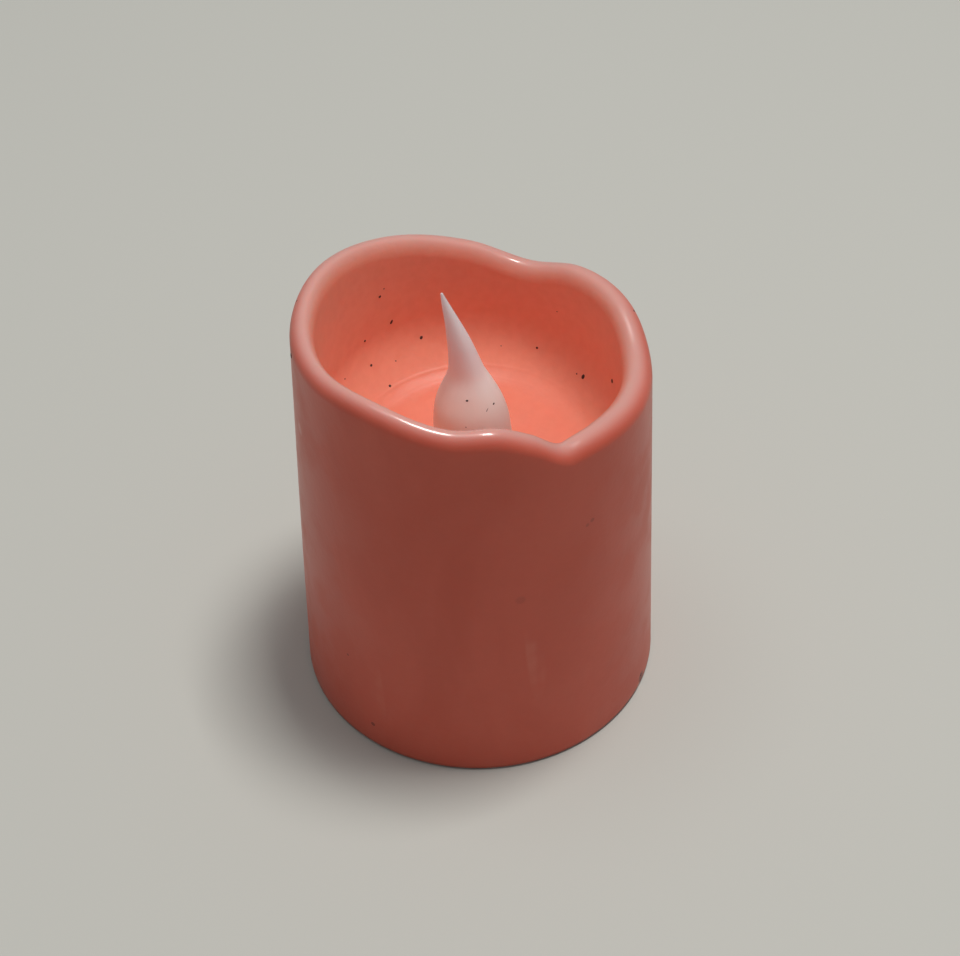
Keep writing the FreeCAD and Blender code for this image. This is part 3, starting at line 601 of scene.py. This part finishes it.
# Dark flecks in the plastic. In the bowl and on the wall a fleck is given by its angle and height, on the
# flame by x and height on the side towards -Y, and then by its size and how much longer than wide it is.
flecks = {
    "bowl": [
        (126.5, 40.0, 0.13, 1.0), (122.0, 35.7, 0.12, 2.0), (135.2, 35.2, 0.11, 1.0),
        (110.3, 32.4, 0.13, 1.3), (134.9, 32.0, 0.12, 1.0), (131.4, 29.6, 0.12, 1.0),
        (123.5, 31.1, 0.06, 1.0), (124.4, 40.8, 0.07, 1.0), (61.8, 31.6, 0.11, 1.0),
        (36.3, 31.4, 0.17, 1.4), (40.0, 31.2, 0.08, 1.0), (18.0, 34.4, 0.16, 1.4),
        (54.1, 37.2, 0.06, 1.0), (77.3, 31.0, 0.05, 1.0), (150.0, 33.0, 0.07, 1.0),
        (8.0, 33.5, 0.06, 1.0), (200.0, 35.0, 0.10, 1.0), (232.0, 38.5, 0.12, 1.5),
        (266.0, 33.4, 0.09, 1.0), (310.0, 36.0, 0.12, 1.0),
    ],
    "flame": [
        (-0.6, 39.3, 0.12, 1.0), (2.1, 38.0, 0.12, 1.2), (-0.8, 36.5, 0.05, 1.0), (1.3, 37.7, 0.035, 14.0),
    ],
    "wall": [
        (189.0, 46.6, 0.24, 1.3), (20.0, 43.0, 0.12, 1.0), (337.0, 1.3, 0.10, 2.4), (168.0, 48.0, 0.10, 1.0),
    ],
    "enlarged": 1.25,  # factor on the sizes in the bowl and on the flame
    "rise": 0.35,  # how far a fleck stands out, as a share of its size
}


# Radius of the bowl's surface at a height: the wall above, the quarter ellipse of the blend below.
def bowlSurface(turn, height):
    top = shell["floorHeight"] + shell["blendRise"]
    wallFoot = bowlRadius(turn, top)
    sine = np.clip((top - height) / shell["blendRise"], 0, 1)
    blend = wallFoot - (wallFoot - shell["floorEdge"]) * (1 - np.sqrt(1 - sine ** 2))
    return np.where(height > top, bowlRadius(turn, height), blend)


# Small rounded grains, each a low sphere flattened along the surface's normal: around, along and out are
# three directions at right angles, and a point is centre + size (around cos + along sin) + rise out.
def makeFlecks(name, centres, outs, sizes, lengths):
    turn = np.linspace(0, 2 * np.pi, 10, endpoint=False)
    tilt = np.array([-0.25, 0.0, 0.35, 0.75]) * np.pi / 2
    around = np.cross(outs, [0.5, 0.2, 1.0])
    around /= np.linalg.norm(around, axis=1)[:, None]
    along = np.cross(outs, around)
    flat = np.cos(tilt)[None, :, None, None] * sizes[:, None, None, None]
    side = flat * np.cos(turn)[None, None, :, None] * around[:, None, None, :]
    end = flat * np.sin(turn)[None, None, :, None] * (along * lengths[:, None])[:, None, None, :]
    lift = flecks["rise"] * sizes[:, None, None, None] * np.sin(tilt)[None, :, None, None]
    points = centres[:, None, None, :] + side + end + lift * outs[:, None, None, :]
    count, rows, columns = points.shape[:3]
    index = np.arange(count * rows * columns).reshape(count, rows, columns)
    low, high = index[:, :-1], index[:, 1:]
    quads = np.stack([low, np.roll(low, -1, 2), np.roll(high, -1, 2), high], axis=-1).reshape(-1, 4)
    caps = [ring[::-1].tolist() for ring in index[:, 0]] + [ring.tolist() for ring in index[:, -1]]
    return makePiece(name, points.reshape(-1, 3) * mm, quads.tolist() + caps)


# Burnt resin of the flecks: nearly black, browner in places, dull.
def fleckResin():
    material, tree, shader = newTree("burntResin")
    cloud = noiseOf(tree, objectPoint(tree), 2500.0, 2.0)
    share = fitRange(tree, cloud, 0.35, 0.65)
    tone = mixColour(tree, share, (0.015, 0.008, 0.008), (0.07, 0.025, 0.018))
    gloss = fitRange(tree, cloud, 0.3, 0.7, 0.5, 0.75)
    bump = bumpOf(tree, cloud, 0.4, 0.00003)
    setInputs(tree, shader, {"Base Color": tone, "Roughness": gloss, "Normal": bump})
    return material


# Flecks on the near side of the flame: in its round section at that height, depth squared is the radius
# squared less the distance across squared.
def flameFlecks():
    table = np.array(flecks["flame"])
    height = table[:, 1]
    lean = smoothThrough(height, flame["heights"], flame["leans"])
    sunk = 1 - flame["ridgeSink"] * flame["ridgeRise"]
    radius = smoothThrough(height, flame["heights"], flame["radii"]) * sunk
    across = table[:, 0] - lean
    depth = -np.sqrt(radius ** 2 - across ** 2)
    outs = np.stack([across / radius, depth / radius, np.zeros_like(depth)], axis=1)
    centres = np.stack([lean + across, depth, height], axis=1)
    return makeFlecks("flame_flecks", centres, outs, flecks["enlarged"] * table[:, 2], table[:, 3])


# Radius of the outside at a height: the wall, then the quarter ellipse that rounds over to the crest.
def outerSurface(turn, height):
    lipStart = rimHeight(turn) - shell["lipOuterDrop"]
    middle = crestRadius(turn)
    sine = np.clip((height - lipStart) / shell["lipOuterDrop"], 0, 1)
    return middle + (outerRadius(turn, np.minimum(height, lipStart)) - middle) * np.sqrt(1 - sine ** 2)


# Flecks on a turned surface, whose normal is square to its slope; side is 1 outside and -1 in the bowl, and
# the slope is taken over a step each way.
def turnedFlecks(name, table, surface, side, step, factor):
    turn, height = np.radians(table[:, 0]), table[:, 1]
    radius = surface(turn, height)
    slope = (surface(turn, height + step) - surface(turn, height - step)) / (2 * step)
    outs = np.stack([side * np.cos(turn), side * np.sin(turn), -side * slope], axis=1)
    outs /= np.linalg.norm(outs, axis=1)[:, None]
    centres = np.stack([radius * np.cos(turn), radius * np.sin(turn), height], axis=1)
    return makeFlecks(name, centres, outs, factor * table[:, 2], table[:, 3])


burntResin = fleckResin()
inBowl = turnedFlecks("bowl_flecks", np.array(flecks["bowl"]), bowlSurface, -1, 0.1, flecks["enlarged"])
onWall = turnedFlecks("wall_flecks", np.array(flecks["wall"]), outerSurface, 1, 0.05, 1.0)
for piece in (inBowl, onWall, flameFlecks()):
    setMaterial(piece, burntResin)
    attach(piece, "candle")
print("flecks made")

# What each finish looks like: two base colours that cloud into each other, the grain's scale, how far the
# grain is drawn out, the roughness range, the depth of the grain, the share of dust, and metal or not.
finishes = {
    "coverPlastic": {
        "nodes": ["base_cover", "battery_door"], "colours": [(0.58, 0.10, 0.06), (0.65, 0.13, 0.08)],
        "scale": 1500.0, "along": 1.0, "rough": (0.42, 0.56), "depth": 0.00005, "dust": 0.04, "metal": 0.0,
    },
    "blackPlastic": {
        "nodes": ["switch_slider", "switch_wafer", "cell_gasket"],
        "colours": [(0.02, 0.02, 0.022), (0.045, 0.042, 0.04)],
        "scale": 2600.0, "along": 1.0, "rough": (0.35, 0.55), "depth": 0.00004, "dust": 0.08, "metal": 0.0,
    },
    "towerPlastic": {
        "nodes": ["light_tower", "led_spacer"], "colours": [(0.62, 0.60, 0.55), (0.72, 0.70, 0.66)],
        "scale": 1400.0, "along": 0.6, "rough": (0.4, 0.55), "depth": 0.00005, "dust": 0.05, "metal": 0.0,
    },
    "pottingResin": {
        "nodes": ["controller_blob"], "colours": [(0.012, 0.012, 0.013), (0.03, 0.03, 0.03)],
        "scale": 700.0, "along": 1.0, "rough": (0.18, 0.34), "depth": 0.00008, "dust": 0.06, "metal": 0.0,
    },
    "tinnedSteel": {
        "nodes": [
            "led_anode_lead", "led_cathode_lead", "switch_pins", "switch_frame",
            "solder_joints", "chip_resistor",
        ],
        "colours": [(0.62, 0.62, 0.60), (0.78, 0.78, 0.76)],
        "scale": 2200.0, "along": 0.08, "rough": (0.22, 0.42), "depth": 0.00002, "dust": 0.02, "metal": 1.0,
    },
    "zincSteel": {
        "nodes": ["board_screws"], "colours": [(0.50, 0.51, 0.50), (0.64, 0.62, 0.54)],
        "scale": 2400.0, "along": 1.0, "rough": (0.28, 0.48), "depth": 0.00003, "dust": 0.03, "metal": 1.0,
    },
    "contactBrass": {
        "nodes": ["switch_wiper", "negative_contact", "positive_contact"],
        "colours": [(0.72, 0.50, 0.22), (0.84, 0.64, 0.34)],
        "scale": 2000.0, "along": 0.06, "rough": (0.2, 0.4), "depth": 0.00002, "dust": 0.02, "metal": 1.0,
    },
    "cellSteel": {
        "nodes": ["cell_can", "cell_cap"], "colours": [(0.60, 0.60, 0.62), (0.74, 0.74, 0.76)],
        "scale": 1600.0, "along": 0.05, "rough": (0.16, 0.32), "depth": 0.00002, "dust": 0.02, "metal": 1.0,
    },
}


# One finish as a material: clouded base colour darkened along the grain, rubbed scuffs, dust and a bump.
def makeFinish(name, look):
    material, tree, shader = newTree(name)
    scale = look["scale"]
    pattern = placeGroup(tree, grain, Scale=scale, Along=look["along"], Coarse=0.12 * scale)
    pale = mixColour(tree, pattern.outputs["Clouds"], *look["colours"])
    shaded = fitRange(tree, pattern.outputs["Lines"], 0.3, 0.7, 0.0, 0.2)
    dark = tuple(0.4 * value for value in look["colours"][0])
    tone = mixColour(tree, shaded, pale, dark)
    rubbed = placeGroup(tree, scuffs, Scale=0.3 * scale, Amount=0.7).outputs["Mask"]
    lighter = tuple(0.6 * value + 0.3 for value in look["colours"][1])
    tone = mixColour(tree, mathNode(tree, "MULTIPLY", rubbed, 0.35), tone, lighter)
    dust = placeGroup(tree, specks, Scale=0.35 * scale, Share=look["dust"], Radius=0.2).outputs["Mask"]
    tone = mixColour(tree, mathNode(tree, "MULTIPLY", dust, 0.5), tone, (0.30, 0.28, 0.25))
    gloss = fitRange(tree, pattern.outputs["Lines"], 0.3, 0.7, *look["rough"])
    gloss = mathNode(tree, "MULTIPLY_ADD", rubbed, 0.15, gloss)
    bump = bumpOf(tree, pattern.outputs["Lines"], 0.5, look["depth"])
    setInputs(tree, shader, {"Base Color": tone, "Roughness": gloss, "Normal": bump})
    setInputs(tree, shader, {"Metallic": look["metal"]})
    return material


# Circuit board: green mask over laminate, with paler fields of copper under it, parted by narrow gaps.
def maskedLaminate():
    material, tree, shader = newTree("maskedLaminate")
    point = objectPoint(tree)
    layout = {"Vector": stretched(tree, point, (1.0, 1.0, 0.0)), "Scale": 105.0, "Mortar Size": 0.022}
    fields = addNode(tree, "ShaderNodeTexBrick", layout, offset=0.35, squash=1.6, squash_frequency=3)
    tracks = mathNode(tree, "SUBTRACT", 1.0, fields.outputs["Fac"])
    cloth = stretched(tree, point, (1.0, 1.0, 1.0), (0.0, 0.0, 0.785))
    weave = addNode(tree, "ShaderNodeTexChecker", {"Vector": cloth, "Scale": 1800.0}).outputs["Fac"]
    green = mixColour(tree, tracks, (0.02, 0.13, 0.05), (0.035, 0.24, 0.09))
    green = mixColour(tree, mathNode(tree, "MULTIPLY", weave, 0.12), green, (0.10, 0.30, 0.12))
    flux = fitRange(tree, noiseOf(tree, point, 240.0), 0.55, 0.7, 0.0, 0.4)
    green = mixColour(tree, flux, green, (0.16, 0.17, 0.06))
    gloss = fitRange(tree, flux, 0.0, 0.4, 0.3, 0.55)
    bump = bumpOf(tree, tracks, 0.6, 0.00003)
    setInputs(tree, shader, {"Base Color": green, "Roughness": gloss, "Normal": bump})
    return material


# Clear amber epoxy of the LED, with cloudy streaks and a dusty sheen.
def amberEpoxy():
    material, tree, shader = newTree("amberEpoxy")
    streaks = placeGroup(tree, grain, Scale=900.0, Along=1.0, Coarse=320.0)
    tone = mixColour(tree, streaks.outputs["Clouds"], (0.86, 0.70, 0.36), (0.95, 0.83, 0.55))
    gloss = fitRange(tree, streaks.outputs["Lines"], 0.3, 0.7, 0.06, 0.18)
    bump = bumpOf(tree, streaks.outputs["Lines"], 0.3, 0.00002)
    setInputs(tree, shader, {"Base Color": tone, "Roughness": gloss, "Normal": bump})
    setInputs(tree, shader, {"Transmission Weight": 0.7, "IOR": 1.54})
    return material


for name, look in finishes.items():
    material = makeFinish(name, look)
    for node in look["nodes"]:
        setMaterial(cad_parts[node], material)
setMaterial(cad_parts["circuit_board"], maskedLaminate())
setMaterial(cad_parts["led_bulb"], amberEpoxy())
setMaterial(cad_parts["outer_shell"], shellPiece.data.materials[0])
setMaterial(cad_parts["flame_lens"], flamePiece.data.materials[0])
print("finishes set")


studio = {
    "panels": [
        {"name": "mainPanel", "place": (0.095, 0.03, 0.62), "size": 0.13, "watts": 2.45},
        {"name": "sidePanel", "place": (-0.14, 0.06, 0.62), "size": 0.2, "watts": 0.25},
    ],
    "lampColour": (1.0, 0.98, 0.95),
    "aim": (0.0, 0.0, 0.03),
    "sky": (0.95, 0.98, 1.0),
    "skyStrength": 0.25,
    "floorReach": 0.6,
    "floorColour": (0.56, 0.56, 0.52),
}


def makeStage():
    corners = studio["floorReach"] * np.array([(-1, -1, 0), (1, -1, 0), (1, 1, 0), (-1, 1, 0)])
    floor = makePiece("floor", corners, [(0, 1, 2, 3)])
    material, tree, shader = newTree("paleFloor")
    setInputs(tree, shader, {"Base Color": (*studio["floorColour"], 1), "Roughness": 0.7})
    setMaterial(floor, material)


def makeLights():
    aim = np.array(studio["aim"])
    for panel in studio["panels"]:
        lamp = bpy.data.lights.new(panel["name"], "AREA")
        lamp.energy = panel["watts"]
        lamp.color = studio["lampColour"]
        lamp.size = panel["size"]
        holder = bpy.data.objects.new(panel["name"], lamp)
        holder.location = panel["place"]
        direction = mathutils.Vector(aim - np.array(panel["place"]))
        holder.rotation_euler = direction.to_track_quat("-Z", "Y").to_euler()
        bpy.context.scene.collection.objects.link(holder)
    world = bpy.data.worlds.new("studioSky")
    world.use_nodes = True
    back = world.node_tree.nodes["Background"]
    back.inputs["Color"].default_value = (*studio["sky"], 1)
    back.inputs["Strength"].default_value = studio["skyStrength"]
    bpy.context.scene.world = world


cameraSettings = {
    "place": (0.0, -0.22157, 0.25253),
    "turnDegrees": (44.270, 1.150, -1.308),
    "lens": 112.5,
    "sensor": 36.0,
}


def makeCamera():
    lens = bpy.data.cameras.new("viewCamera")
    lens.lens = cameraSettings["lens"]
    lens.sensor_width = cameraSettings["sensor"]
    camera = bpy.data.objects.new("viewCamera", lens)
    camera.location = cameraSettings["place"]
    camera.rotation_euler = [math.radians(angle) for angle in cameraSettings["turnDegrees"]]
    bpy.context.scene.collection.objects.link(camera)
    bpy.context.scene.camera = camera


makeStage()
makeLights()
makeCamera()
bpy.context.scene.view_settings.view_transform = "Standard"
print("stage set")
